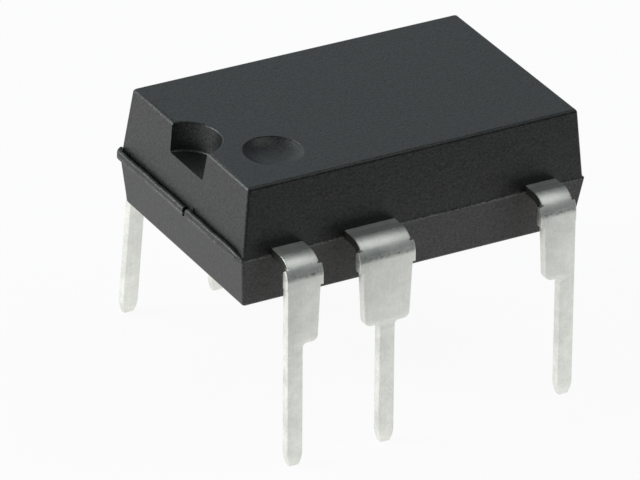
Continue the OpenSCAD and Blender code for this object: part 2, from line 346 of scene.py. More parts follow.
class ChipStageSettings(bpy.types.PropertyGroup):
    key_strength: FloatProperty(
        name="Key light",
        description="Strength of the lamp on the notched end's side",
        default=2.2,
        min=0.0,
        max=20.0,
    )
    top_strength: FloatProperty(
        name="Top light",
        description="Strength of the lamp above",
        default=0.42,
        min=0.0,
        max=20.0,
    )
    table_glow: FloatProperty(
        name="Even white",
        description="Share of the sheet's look that doesn't depend on the lamps",
        default=0.93,
        min=0.0,
        max=1.0,
    )
    surround: FloatProperty(
        name="Surround",
        description="Brightness of the surround behind the part",
        default=0.55,
        min=0.0,
        max=5.0,
    )
    floor_size: FloatProperty(
        name="Floor size",
        description="Width of the floor",
        default=3.0,
        min=0.5,
        max=10.0,
        subtype="DISTANCE",
        unit="LENGTH",
    )


def add_node(tree, kind, settings=None, links=None):
    """Adds a node, with input values or attributes by name, and links into its inputs."""
    node = tree.nodes.new(kind)
    for key, value in (settings or {}).items():
        if isinstance(key, int) or key in node.inputs:
            node.inputs[key].default_value = value
        else:
            setattr(node, key, value)
    for key, source in (links or {}).items():
        tree.links.new(source, node.inputs[key])
    return node


def new_material(name):
    """An empty node material with its Principled shader, output and object coordinates."""
    mat = bpy.data.materials.new(name)
    mat.use_nodes = True
    tree = mat.node_tree
    tree.nodes.clear()
    shader = add_node(tree, "ShaderNodeBsdfPrincipled")
    add_node(tree, "ShaderNodeOutputMaterial", links={"Surface": shader.outputs[0]})
    place = add_node(tree, "ShaderNodeTexCoord").outputs["Object"]
    return mat, tree, shader, place


def moulded_compound(body):
    """Black epoxy compound from a spark-eroded mould: matte, evenly grained, slightly cloudy."""
    mat, tree, shader, place = new_material("epoxy moulding compound, spark-eroded grain")
    grain = 1.0 / body.grain_size
    base = Vector(body.colour)
    # Clouds of lighter filler, a millimetre or so across, keep the faces from looking flat
    cloud = add_node(
        tree,
        "ShaderNodeTexNoise",
        {"Scale": 1 / (COMPOUND_CLOUD * MM), "Detail": 4.0, "Roughness": 0.6},
        {"Vector": place},
    )
    speck = add_node(
        tree,
        "ShaderNodeTexNoise",
        {"Scale": grain * 0.7, "Detail": 2.0, "Roughness": 0.7},
        {"Vector": place},
    )
    both = add_node(
        tree,
        "ShaderNodeMix",
        {"data_type": "FLOAT", "Factor": 0.6},
        {"A": cloud.outputs["Fac"], "B": speck.outputs["Fac"]},
    )
    tint = add_node(tree, "ShaderNodeValToRGB", links={"Fac": both.outputs[0]})
    tint.color_ramp.elements[0].position = 0.3
    tint.color_ramp.elements[0].color = (*(base * 0.72), 1.0)
    tint.color_ramp.elements[1].position = 0.72
    tint.color_ramp.elements[1].color = (*(base * 1.32), 1.0)
    # The spark-eroded skin is a crowd of tiny craters, one grain wide, that spread the highlights
    craters = add_node(
        tree,
        "ShaderNodeTexVoronoi",
        {"Scale": grain, "Randomness": 1.0, "feature": "SMOOTH_F1", "Smoothness": 0.6},
        {"Vector": place},
    )
    rough = add_node(
        tree, "ShaderNodeMapRange", {"To Min": 0.33, "To Max": 0.45}, {"Value": speck.outputs["Fac"]}
    )
    # Filler grains at the surface reflect a little more than the resin between them
    shine = add_node(
        tree,
        "ShaderNodeMapRange",
        {"From Min": 0.32, "From Max": 0.68, "To Min": 0.32, "To Max": 0.66},
        {"Value": speck.outputs["Fac"]},
    )
    crater_bump = add_node(
        tree,
        "ShaderNodeBump",
        {"Strength": 0.4, "Distance": 0.01 * MM},
        {"Height": craters.outputs["Distance"]},
    )
    bump = add_node(
        tree,
        "ShaderNodeBump",
        {"Strength": 0.3, "Distance": 0.008 * MM},
        {"Height": speck.outputs["Fac"], "Normal": crater_bump.outputs[0]},
    )
    # Painted highlight: a pale, broken line along the parting edge, where the ledge's edge catches the light
    height = add_node(tree, "ShaderNodeSeparateXYZ", links={0: place}).outputs["Z"]
    below = add_node(
        tree,
        "ShaderNodeMapRange",
        {"From Min": LEDGE_HIGHLIGHT_BELOW[0] * MM, "From Max": LEDGE_HIGHLIGHT_BELOW[1] * MM},
        {"Value": height},
    )
    above = add_node(
        tree,
        "ShaderNodeMapRange",
        {"From Min": LEDGE_HIGHLIGHT_ABOVE[0] * MM, "From Max": LEDGE_HIGHLIGHT_ABOVE[1] * MM},
        {"Value": height},
    )
    edge = add_node(
        tree, "ShaderNodeMath", {"operation": "MULTIPLY"}, {0: below.outputs[0], 1: above.outputs[0]}
    )
    broken = add_node(
        tree, "ShaderNodeMapRange", {"From Min": 0.4, "From Max": 0.6}, {"Value": both.outputs[0]}
    )
    ledge_highlight = add_node(
        tree, "ShaderNodeMath", {"operation": "MULTIPLY"}, {0: edge.outputs[0], 1: broken.outputs[0]}
    )
    colour = add_node(
        tree,
        "ShaderNodeMix",
        {"data_type": "RGBA", 7: linear("#6c6c68")},
        {0: ledge_highlight.outputs[0], 6: tint.outputs["Color"]},
    )
    shader.inputs["IOR"].default_value = 1.55
    tree.links.new(colour.outputs[2], shader.inputs["Base Color"])
    tree.links.new(rough.outputs[0], shader.inputs["Roughness"])
    tree.links.new(shine.outputs[0], shader.inputs["Specular IOR Level"])
    tree.links.new(bump.outputs[0], shader.inputs["Normal"])
    return mat


def matte_tin(lead):
    """Matte tin plating on stamped copper alloy: pale grey, blotched, with fine rolling lines."""
    mat, tree, shader, place = new_material("matte tin plating on stamped copper alloy")
    base = Vector(lead.colour)
    # Tin crystals under a tenth of a millimetre wide break up the shine
    crystal = add_node(
        tree,
        "ShaderNodeTexNoise",
        {"Scale": 1 / (TIN_CRYSTAL * MM), "Detail": 4.0, "Roughness": 0.7},
        {"Vector": place},
    )
    # Handling and plating leave broad blotches about half a millimetre wide
    cloud = add_node(
        tree,
        "ShaderNodeTexNoise",
        {"Scale": 1 / (TIN_BLOTCH * MM), "Detail": 4.0, "Roughness": 0.6},
        {"Vector": place},
    )
    # Rolling lines run down the legs
    squeeze = add_node(
        tree, "ShaderNodeMapping", {"Scale": [1 / (w * MM) for w in ROLLING_LINE]}, {"Vector": place}
    )
    lines = add_node(
        tree,
        "ShaderNodeTexNoise",
        {"Scale": 1.0, "Detail": 3.0, "Roughness": 0.6},
        {"Vector": squeeze.outputs[0]},
    )
    broad = add_node(
        tree,
        "ShaderNodeMix",
        {"data_type": "FLOAT", "Factor": 0.25},
        {"A": cloud.outputs["Fac"], "B": lines.outputs["Fac"]},
    )
    both = add_node(
        tree,
        "ShaderNodeMix",
        {"data_type": "FLOAT", "Factor": 0.3},
        {"A": broad.outputs[0], "B": crystal.outputs["Fac"]},
    )
    tint = add_node(tree, "ShaderNodeValToRGB", links={"Fac": both.outputs[0]})
    tint.color_ramp.elements[0].position = 0.38
    tint.color_ramp.elements[0].color = (*(base * 0.84), 1.0)
    tint.color_ramp.elements[1].position = 0.62
    tint.color_ramp.elements[1].color = (*(base * 1.1), 1.0)
    # Painted shade: the cut sides beside the body are tinted dark and lose their metal shine, from the bend
    # inwards
    axes = add_node(tree, "ShaderNodeSeparateXYZ", links={0: place})
    normal = add_node(tree, "ShaderNodeNewGeometry").outputs["Normal"]
    facing = add_node(tree, "ShaderNodeSeparateXYZ", links={0: normal})
    side = add_node(tree, "ShaderNodeMath", {"operation": "ABSOLUTE"}, {0: facing.outputs["X"]})
    sideways = add_node(
        tree, "ShaderNodeMapRange", {"From Min": 0.75, "From Max": 0.95}, {"Value": side.outputs[0]}
    )
    high = add_node(
        tree,
        "ShaderNodeMapRange",
        {"From Min": SIDE_SHADE_HIGH[0] * MM, "From Max": SIDE_SHADE_HIGH[1] * MM},
        {"Value": axes.outputs["Z"]},
    )
    across = add_node(tree, "ShaderNodeMath", {"operation": "ABSOLUTE"}, {0: axes.outputs["Y"]})
    near = add_node(
        tree,
        "ShaderNodeMapRange",
        {"From Min": SIDE_SHADE_NEAR[0] * MM, "From Max": SIDE_SHADE_NEAR[1] * MM},
        {"Value": across.outputs[0]},
    )
    upper = add_node(
        tree, "ShaderNodeMath", {"operation": "MAXIMUM"}, {0: high.outputs[0], 1: near.outputs[0]}
    )
    above = add_node(
        tree,
        "ShaderNodeMapRange",
        {"From Min": SIDE_SHADE_LOW[0] * MM, "From Max": SIDE_SHADE_LOW[1] * MM},
        {"Value": axes.outputs["Z"]},
    )
    side_shade_span = add_node(
        tree, "ShaderNodeMath", {"operation": "MULTIPLY"}, {0: upper.outputs[0], 1: above.outputs[0]}
    )
    side_shade = add_node(
        tree, "ShaderNodeMath", {"operation": "MULTIPLY"}, {0: side_shade_span.outputs[0], 1: sideways.outputs[0]}
    )
    # Thinner painted shade lies on the flat of the lead, and ends raggedly at the bend
    wander = add_node(
        tree,
        "ShaderNodeMath",
        {"operation": "MULTIPLY_ADD", 1: 0.08 * MM, 2: -0.04 * MM},
        {0: crystal.outputs["Fac"]},
    )
    edge = add_node(
        tree, "ShaderNodeMath", {"operation": "ADD"}, {0: across.outputs[0], 1: wander.outputs[0]}
    )
    flat = add_node(
        tree,
        "ShaderNodeMapRange",
        {"From Min": FLAT_SHADE_SPAN[0] * MM, "From Max": FLAT_SHADE_SPAN[1] * MM},
        {"Value": edge.outputs[0]},
    )
    flat_shade = add_node(tree, "ShaderNodeValToRGB", links={"Fac": flat.outputs[0]})
    stops = flat_shade.color_ramp.elements
    stops[0].color = (0.42, 0.42, 0.42, 1.0)
    for position, level in ((0.2, 0.45), (0.3, 0.62), (0.72, 0.6), (0.8, 0.0)):
        stops.new(position).color = (level, level, level, 1.0)
    stops[-1].color = (0.0, 0.0, 0.0, 1.0)
    # Both painted shades together mark where the lead is tinted dark
    painted_shade = add_node(
        tree, "ShaderNodeMath", {"operation": "MAXIMUM"}, {0: side_shade.outputs[0], 1: flat_shade.outputs["Color"]}
    )
    # Painted shade: where the mask holds, the tin turns a dark brown-grey
    colour = add_node(
        tree,
        "ShaderNodeMix",
        {"data_type": "RGBA", 7: linear("#3a3832")},
        {0: painted_shade.outputs[0], 6: tint.outputs["Color"]},
    )
    # Painted shade: a darker, patchy band along the crease under the bend
    crease = add_node(
        tree,
        "ShaderNodeMath",
        {"operation": "SUBTRACT", 1: CREASE_SHADE_Z * MM},
        {0: axes.outputs["Z"]},
    )
    away = add_node(tree, "ShaderNodeMath", {"operation": "ABSOLUTE"}, {0: crease.outputs[0]})
    band = add_node(
        tree,
        "ShaderNodeMapRange",
        {"From Min": CREASE_SHADE_FADE[0] * MM, "From Max": CREASE_SHADE_FADE[1] * MM},
        {"Value": away.outputs[0]},
    )
    shade_patch = add_node(
        tree,
        "ShaderNodeMapRange",
        {"From Min": 0.47, "From Max": 0.62, "To Max": 0.6},
        {"Value": crystal.outputs["Fac"]},
    )
    crease_shade = add_node(
        tree, "ShaderNodeMath", {"operation": "MULTIPLY"}, {0: band.outputs[0], 1: shade_patch.outputs[0]}
    )
    crease_shaded = add_node(
        tree,
        "ShaderNodeMix",
        {"data_type": "RGBA", 7: linear("#6e6d66")},
        {0: crease_shade.outputs[0], 6: colour.outputs[2]},
    )
    # Painted shade also takes the metal shine away where it lies
    metal = add_node(
        tree, "ShaderNodeMapRange", {"To Min": 0.95, "To Max": 0.0}, {"Value": painted_shade.outputs[0]}
    )
    rough = add_node(
        tree,
        "ShaderNodeMapRange",
        {"From Min": 0.3, "From Max": 0.7, "To Min": 0.37, "To Max": 0.52},
        {"Value": both.outputs[0]},
    )
    line_bump = add_node(
        tree,
        "ShaderNodeBump",
        {"Strength": 0.2, "Distance": 0.006 * MM},
        {"Height": lines.outputs["Fac"]},
    )
    bump = add_node(
        tree,
        "ShaderNodeBump",
        {"Strength": 0.45, "Distance": 0.008 * MM},
        {"Height": crystal.outputs["Fac"], "Normal": line_bump.outputs[0]},
    )
    tree.links.new(crease_shaded.outputs[2], shader.inputs["Base Color"])
    tree.links.new(metal.outputs[0], shader.inputs["Metallic"])
    tree.links.new(rough.outputs[0], shader.inputs["Roughness"])
    tree.links.new(bump.outputs[0], shader.inputs["Normal"])
    return mat


def sealed_finish(name, hex_colour, roughness, metallic, grain):
    """A plain finish for a sealed piece, with a fine grain of the given width in millimetres."""
    mat, tree, shader, place = new_material(name)
    noise = add_node(
        tree, "ShaderNodeTexNoise", {"Scale": 1 / (grain * MM), "Detail": 3.0}, {"Vector": place}
    )
    rough = add_node(
        tree,
        "ShaderNodeMapRange",
        {"To Min": roughness * 0.85, "To Max": roughness * 1.15},
        {"Value": noise.outputs["Fac"]},
    )
    bump = add_node(
        tree,
        "ShaderNodeBump",
        {"Strength": 0.15, "Distance": grain * 0.1 * MM},
        {"Height": noise.outputs["Fac"]},
    )
    shader.inputs["Base Color"].default_value = linear(hex_colour)
    shader.inputs["Metallic"].default_value = metallic
    tree.links.new(rough.outputs[0], shader.inputs["Roughness"])
    tree.links.new(bump.outputs[0], shader.inputs["Normal"])
    return mat


def make_object(name, verts, faces, mat):
    """A mesh object from millimetre coordinates, with its faces turned outwards."""
    mesh = bpy.data.meshes.new(name)
    mesh.from_pydata([Vector(v) * MM for v in verts], [], faces)
    mesh.validate()
    bm = bmesh.new()
    bm.from_mesh(mesh)
    bmesh.ops.remove_doubles(bm, verts=bm.verts, dist=1e-8)
    bmesh.ops.recalc_face_normals(bm, faces=bm.faces)
    bm.to_mesh(mesh)
    bm.free()
    mesh.materials.append(mat)
    obj = bpy.data.objects.new(name, mesh)
    bpy.context.scene.collection.objects.link(obj)
    return obj


def combine(obj, other, operation, sharp):
    """Joins other to obj or cuts it out, removes other, and shades obj with sharp edges kept."""
    mod = obj.modifiers.new("combine", "BOOLEAN")
    mod.operation = operation
    mod.solver = "EXACT"
    mod.object = other
    graph = bpy.context.evaluated_depsgraph_get()
    mesh = bpy.data.meshes.new_from_object(obj.evaluated_get(graph))
    obj.modifiers.remove(mod)
    old = obj.data
    obj.data = mesh
    bpy.data.meshes.remove(old)
    bpy.data.objects.remove(other)
    mesh.shade_smooth()
    mesh.set_sharp_from_angle(angle=radians(sharp))


def loft(rings):
    """Faces between rings of equal length, with a face over each end."""
    count = len(rings[0])
    verts = [point for ring in rings for point in ring]
    faces = []
    for k in range(len(rings) - 1):
        a, b = k * count, (k + 1) * count
        for i in range(count):
            j = (i + 1) % count
            faces.append((a + i, a + j, b + j, b + i))
    last = (len(rings) - 1) * count
    faces.append(tuple(reversed(range(count))))
    faces.append(tuple(range(last, last + count)))
    return verts, faces


def round_rectangle(low, high, radius, steps):
    """Points round a rectangle with round corners, between its low and its high corner."""
    left, right = low[0] + radius, high[0] - radius
    bottom, top = low[1] + radius, high[1] - radius
    points = []
    for x, y, start in ((right, top, 0), (left, top, 90), (left, bottom, 180), (right, bottom, 270)):
        for i in range(steps + 1):
            a = radians(start + 90 * i / steps)
            points.append((x + radius * cos(a), y + radius * sin(a)))
    return points


def lathe(profile, centre):
    """A closed solid turned about a vertical axis from (radius, z) pairs, axis points excluded."""
    turns = [2 * pi * i / TURN_STEPS for i in range(TURN_STEPS)]
    return loft([[(centre[0] + r * cos(a), centre[1] + r * sin(a), z) for a in turns] for r, z in profile])


def moulding_shell(edge, corner):
    """The two drafted halves with rounded edges, as rings from the underside to the top."""
    levels = []
    # Round edge of the underside, then the lower half up to its ledge
    for i in range(EDGE_STEPS + 1):
        a = radians(90 * i / EDGE_STEPS)
        z = BODY_BOTTOM + edge * (1 - cos(a))
        levels.append((z, (PARTING_Z - z) * LOWER_DRAFT + edge * (1 - sin(a))))
    levels += [
        (PARTING_Z - LEDGE_BREAK, LEDGE_BREAK * LOWER_DRAFT),
        (PARTING_Z - LEDGE_BREAK * 0.3, LEDGE_BREAK * 0.35),
        (PARTING_Z, LEDGE_BREAK),
        (PARTING_Z + LEDGE_RISE, LEDGE - LEDGE_FILLET_W),
        (PARTING_Z + LEDGE_FILLET_H, LEDGE),
    ]
    # The upper half up to the round edge of the top face
    for i in range(EDGE_STEPS + 1):
        a = radians(90 * i / EDGE_STEPS)
        z = BODY_TOP - edge * (1 - sin(a))
        levels.append((z, LEDGE + (z - PARTING_Z) * UPPER_DRAFT + edge * (1 - cos(a))))
    rings = []
    for z, inset in levels:
        half_l, half_w = LOWER_HL - inset, LOWER_HW - inset
        outline = round_rectangle((-half_l, -half_w), (half_l, half_w), corner, EDGE_STEPS)
        rings.append([(x, y, z) for x, y in outline])
    return loft(rings)


def lip_bar(y0, y1):
    """One length of the parting lip: a round ridge with a groove behind it, sinking into the near corner."""
    rings = []
    for k in range(LIP_STEPS + 1):
        y = y0 + (y1 - y0) * k / LIP_STEPS
        sink = max(0.0, 1 - (y + LIP_END_Y) / SINK_L) ** 2
        end = max(0.0, 1 - (LIP_END_Y - y) / FAR_L) ** 2
        back = LIP_TAPER * (LIP_END_Y - y) / (2 * LIP_END_Y) + SINK_BACK * sink + FAR_BACK * end
        # A moulded lip is never quite straight
        wave = 0.004 * sin(y * 5.0) + 0.002 * sin(y * 17.0 + 1.0)
        out = LIP_X + back + wave
        top = FRAME_TOP - SINK_DEPTH * sink + wave
        bump = max(0.0, 1 - ((y - BUMP_Y) / BUMP_HW) ** 2)
        floor = max(top - GROOVE_DEPTH + BUMP_FILL * bump, GROOVE_FLOOR)
        foot = max(GROOVE_X, out + 2 * LIP_TOP_R + GROOVE_GAP)
        ring = [(LIP_ROOT_X, y, floor), (foot, y, floor)]
        for i in range(LIP_TOP_STEPS + 1):
            a = radians(180 * i / LIP_TOP_STEPS)
            x = out + LIP_TOP_R + LIP_TOP_R * cos(a)
            ring.append((x, y, top - LIP_TOP_R + LIP_TOP_R * sin(a) + BUMP_RISE * bump))
        for i in range(LIP_LOW_STEPS + 1):
            a = radians(180 + 60 * i / LIP_LOW_STEPS)
            x = out + LIP_LOW_R + LIP_LOW_R * cos(a)
            ring.append((x, y, LIP_BASE + LIP_LOW_R + LIP_LOW_R * sin(a)))
        ring.append((LIP_ROOT_X, y, LIP_BASE))
        rings.append(ring)
    return loft(rings)


def rim_profile(radius, rim):
    """The end of a cutter's profile: a rim that flares onto the top face, then a collar above it."""
    profile = []
    for i in range(EDGE_STEPS):
        a = radians(90 * i / EDGE_STEPS)
        profile.append((radius + rim * (1 - cos(a)), BODY_TOP - rim + rim * sin(a)))
    return profile + [(radius + rim, BODY_TOP + CUT_PROUD), (radius + rim, BODY_TOP + CUT_ABOVE)]


def notch_cutter():
    """The notch's volume: flat floor, steep wall, and a rim that flares over the top face."""
    floor_z = BODY_TOP - NOTCH_DEPTH
    flat_r = NOTCH_FLOOR_R - NOTCH_FILLET
    profile = []
    for i in range(EDGE_STEPS + 1):
        a = radians(90 * i / EDGE_STEPS)
        profile.append((flat_r + NOTCH_FILLET * sin(a), floor_z + NOTCH_FILLET * (1 - cos(a))))
    return lathe(profile + rim_profile(NOTCH_R, NOTCH_RIM), (NOTCH_X, 0.0))


def mark_cutter():
    """The pin 1 mark's volume: a dish that steepens outwards to a slightly rounded rim."""
    rise = MARK_DEPTH - MARK_DISH_TOP
    shares = [i / MARK_STEPS for i in range(1, MARK_STEPS + 1)]
    profile = [(MARK_DISH_R * t, BODY_TOP - MARK_DEPTH + rise * t**MARK_POWER) for t in shares]
    return lathe(profile + rim_profile(MARK_R, MARK_RIM), MARK)


def half_width(z, full):
    """Half width of a lead at height z on its outer face, on a full side or an end lead's plain side."""
    if full:
        if z > EAR_TOP:
            return RUN_HW
        if z > EAR_TOP - EAR_SLIT:
            return RUN_HW - EAR_SLIT
        if z > EAR_LOW:
            return EAR_HW
        if z > SHOULDER_Z + SHOULDER_R:
            t = (EAR_LOW - z) / (EAR_LOW - SHOULDER_Z - SHOULDER_R)
            return SHOULDER_HW + (SHOULDER_LOW_HW - SHOULDER_HW) * t
        if z > SHOULDER_Z:
            d = SHOULDER_Z + SHOULDER_R - z
            return SHOULDER_LOW_HW - SHOULDER_R + sqrt(max(SHOULDER_R**2 - d**2, 0.0))
        if z > SHOULDER_Z - NECK_R:
            d = z - (SHOULDER_Z - NECK_R)
            return LEG_HW + NECK_R - sqrt(max(NECK_R**2 - d**2, 0.0))
    else:
        if z > EAR_TOP:
            return END_HW
        if z > EAR_TOP - EAR_SLIT:
            return END_HW - EAR_SLIT / 2
        if z > EAR_LOW:
            return END_EAR_HW
    if z > TIP_H:
        return LEG_HW
    return TIP_HW + (LEG_HW - TIP_HW) * (z / TIP_H)


def lead_levels():
    """Heights of the outer face at which a lead gets a row, two close together at each step."""
    levels = []
    for z in (EAR_TOP, EAR_TOP - EAR_SLIT, EAR_LOW):
        levels += [z + STEP_GAP, z - STEP_GAP]
    levels += [CREASE_Z + CREASE_ROW_GAP * k for k in (3, 2, 1, 0, -1, -2, -3)]
    for i in range(OUTLINE_STEPS + 1):
        a = radians(90 * i / OUTLINE_STEPS)
        levels.append(SHOULDER_Z + SHOULDER_R * (1 - sin(a)) + STEP_GAP / 3)
        levels.append(SHOULDER_Z - NECK_R * (1 - cos(a)) - STEP_GAP / 3)
    levels += EAR_ROWS + LEG_ROWS
    return sorted(set(levels), reverse=True)


def lead_rings(x, left_full, right_full, edge, bend_steps):
    """Rings of one lead of the front row, from inside the body round the bend to the tip."""
    centre = Vector((0, -BEND_Y, FRAME_TOP - BEND_R))
    end_z = centre.z + BEND_R * sin(SPLAY)
    rows = [(Vector((0, -y, FRAME_TOP)), Vector((0, 0, 1)), FRAME_TOP) for y in RUN_ROWS]
    # Round the bend, each row's outward direction comes from its height
    sweep = pi / 2 - SPLAY
    heights = [centre.z + BEND_R * cos(sweep * i / bend_steps) for i in range(bend_steps + 1)]
    heights += [z for z in lead_levels() if end_z < z < FRAME_TOP]
    for z in sorted(set(heights), reverse=True):
        c = max(-1.0, min(1.0, (z - centre.z) / BEND_R))
        n = Vector((0, -sqrt(1 - c * c), c))
        rows.append((centre + n * BEND_R, n, z))
    # Down the splayed leg
    n = Vector((0, -cos(SPLAY), sin(SPLAY)))
    foot = centre + n * BEND_R
    for z in lead_levels():
        if z <= end_z:
            rows.append((Vector((0, foot.y - (foot.z - z) * tan(SPLAY), z)), n, z))
    rings = []
    for outer, n, z in rows:
        # Rows of the leg lie flat, so the splayed sheet is a little thicker along them
        on_leg = z < end_z
        direction = Vector((0, -1, 0)) if on_leg else n
        depth = SHEET_T / cos(SPLAY) if on_leg else SHEET_T
        thin = TIP_BEVEL * max(0.0, 1 - z / TIP_BEVEL_H)
        dent = CREASE_DEPTH * max(0.0, 1 - abs(z - CREASE_Z) / CREASE_HH)
        low = (-half_width(z, left_full), thin - depth)
        high = (half_width(z, right_full), -thin - dent)
        ring = []
        for across, out in round_rectangle(low, high, edge, METAL_STEPS):
            p = outer + direction * out
            ring.append((x + across, p.y, p.z))
        rings.append(ring)
    return rings


def mirrored_y(part):
    """The same part on the other side of the XZ plane."""
    verts, faces = part
    return [(v[0], -v[1], v[2]) for v in verts], [tuple(reversed(f)) for f in faces]


def finger_outlines():
    """Outlines of the front leads' fingers inside the body, in X and Y."""
    end_in, end_out = END_X - RUN_HW, END_X + END_HW
    return {
        "lead_1": [
            (-end_out, -SHEET_Y),
            (-end_in, -SHEET_Y),
            (-end_in, -ROOT_Y),
            (TIP_1_X, TIP_1_Y - FINGER_W),
            (TIP_1_X, TIP_1_Y),
            (TIP_1_X - FINGER_W, TIP_1_Y),
            (-end_out, -TURN_Y),
        ],
        "lead_2": [
            (-MID_X - RUN_HW, -SHEET_Y),
            (-MID_X + RUN_HW, -SHEET_Y),
            (-MID_X + RUN_HW, FINGER_Y),
            (-MID_X, FINGER_Y),
            (-MID_X - RUN_HW, -TURN_Y),
        ],
        "lead_4": [
            (end_in, -SHEET_Y),
            (end_out, -SHEET_Y),
            (end_out, -TURN_Y),
            (end_in, FINGER_Y),
            (MID_X, FINGER_Y),
            (MID_X, FINGER_Y - FINGER_W),
            (end_in - FINGER_W, FINGER_Y - FINGER_W),
            (end_in, -ROOT_Y),
        ],
    }


def sheet_side(pad_edge, tie_end):
    """Right half of the back sheet's outline, with the pad's edge and the tie bar's end given."""
    return [
        (pad_edge, PAD_FRONT),
        (pad_edge, TIE_Y - TIE_W / 2),
        (tie_end, TIE_Y - TIE_W / 2),
        (tie_end, TIE_Y + TIE_W / 2),
        (pad_edge, TIE_Y + TIE_W / 2),
        (pad_edge, PAD_BACK),
        (END_X + END_HW, PAD_BACK),
        (END_X + END_HW, SHEET_Y),
        (END_X - RUN_HW, SHEET_Y),
        (END_X - RUN_HW, BUS_Y),
        (MID_X + RUN_HW, BUS_Y),
        (MID_X + RUN_HW, SHEET_Y),
        (MID_X - RUN_HW, SHEET_Y),
        (MID_X - RUN_HW, BUS_Y),
    ]


def sheet_plate(outline):
    """A flat plate of the frame's thickness from an outline of (x, y) points."""
    count = len(outline)
    verts = [(x, y, FRAME_BOTTOM) for x, y in outline] + [(x, y, FRAME_TOP) for x, y in outline]
    faces = [tuple(reversed(range(count))), tuple(range(count, 2 * count))]
    faces += [(i, (i + 1) % count, count + (i + 1) % count, count + i) for i in range(count)]
    return verts, faces


def tie_bar():
    """The tie bar's far end with its edges broken, from inside the sheet to its cut end."""
    low, high = (TIE_Y - TIE_W / 2, FRAME_BOTTOM), (TIE_Y + TIE_W / 2, FRAME_TOP)
    start = TIE_STUB - TIE_OVERLAP
    rings = []
    for x, inset in (
        (start, TIE_EDGE),
        (start + TIE_EDGE, 0.0),
        (TIE_END - TIE_EDGE, 0.0),
        (TIE_END, TIE_EDGE),
    ):
        inner = (low[0] + inset, low[1] + inset)
        outer = (high[0] - inset, high[1] - inset)
        rings.append([(x, y, z) for y, z in round_rectangle(inner, outer, TIE_EDGE - inset, METAL_STEPS)])
    return loft(rings)


class ChipMakeBody(bpy.types.Operator):
    """Builds the moulded body with rounded edges, notch, pin 1 mark and parting lip"""

    bl_idname = "chip.make_body"
    bl_label = "Moulded body"

    def execute(self, context):
        settings = context.scene.chip_body
        mat = moulded_compound(settings)
        edge, corner = settings.edge_radius / MM, settings.corner_radius / MM
        body = make_object("moulded_body_shell", *moulding_shell(edge, corner), mat)
        for name, part, operation in (
            ("near lip", lip_bar(-LIP_END_Y, LIP_SLIT[0]), "UNION"),
            ("far lip", lip_bar(LIP_SLIT[1], LIP_END_Y), "UNION"),
            ("notch", notch_cutter(), "DIFFERENCE"),
            ("mark", mark_cutter(), "DIFFERENCE"),
        ):
            combine(body, make_object(name, *part, mat), operation, BODY_SHARP)
        even = body.modifiers.new("even normals", "WEIGHTED_NORMAL")
        even.keep_sharp = True
        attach(body, "root")
        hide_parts("moulded_body")
        return {"FINISHED"}


class ChipMakeLeads(bpy.types.Operator):
    """Builds the seven leads with rounded edges, and the frame's sheet and tie bars"""

    bl_idname = "chip.make_leads"
    bl_label = "Leads"

    def execute(self, context):
        settings = context.scene.chip_lead
        mat = matte_tin(settings)
        edge, steps = settings.edge_radius / MM, settings.bend_steps
        fingers = finger_outlines()
        # Leads at the row's ends have their wide side towards the middle only
        for name, x, left_full, right_full in (
            ("lead_1", -END_X, False, True),
            ("lead_2", -MID_X, True, True),
            ("lead_4", END_X, True, False),
        ):
            outer = loft(lead_rings(x, left_full, right_full, edge, steps))
            obj = make_object(name + "_metal", *outer, mat)
            combine(obj, make_object("finger", *sheet_plate(fingers[name]), mat), "UNION", METAL_SHARP)
            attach(obj, "root")
            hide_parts(name)
        right = sheet_side(PAD_RIGHT, TIE_STUB)
        left = [(-x, y) for x, y in reversed(sheet_side(-PAD_LEFT, TIE_HIDDEN_END))]
        obj = make_object("source_frame_metal", *sheet_plate(right + left), mat)
        for x, left_full, right_full in (
            (-END_X, False, True),
            (-MID_X, True, True),
            (MID_X, True, True),
            (END_X, True, False),
        ):
            part = mirrored_y(loft(lead_rings(x, left_full, right_full, edge, steps)))
            combine(obj, make_object("back lead", *part, mat), "UNION", METAL_SHARP)
        combine(obj, make_object("tie bar", *tie_bar(), mat), "UNION", METAL_SHARP)
        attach(obj, "root")
        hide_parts("source_frame")
        return {"FINISHED"}


class ChipFinishInside(bpy.types.Operator):
    """Gives the sealed die, its layer and the bond wires their materials"""

    bl_idname = "chip.finish_inside"
    bl_label = "Sealed pieces"

    def execute(self, context):
        finishes = {
            "silicon_die": sealed_finish("polished silicon", "#4a5a78", 0.2, 0.3, 0.04),
            "die_attach": sealed_finish("silver-filled epoxy, dispensed", "#9aa0a4", 0.5, 0.6, 0.02),
            "wire": sealed_finish("drawn gold wire", "#d9b45a", 0.3, 1.0, 0.01),
        }
        for obj in bpy.data.objects:
            if obj.type != "MESH" or obj.hide_render:
                continue
            for key, mat in finishes.items():
                if obj.name.startswith(key):
                    obj.data.materials.clear()
                    obj.data.materials.append(mat)
        return {"FINISHED"}


def seen_rays(tree, path):
    """1 for camera, mirrored and refracted rays, 0 for scattered ones."""
    seen = path.outputs["Is Camera Ray"]
    for name in ("Is Glossy Ray", "Is Transmission Ray"):
        either = add_node(tree, "ShaderNodeMath", {"operation": "MAXIMUM"}, {0: seen, 1: path.outputs[name]})
        seen = either.outputs[0]
    return seen


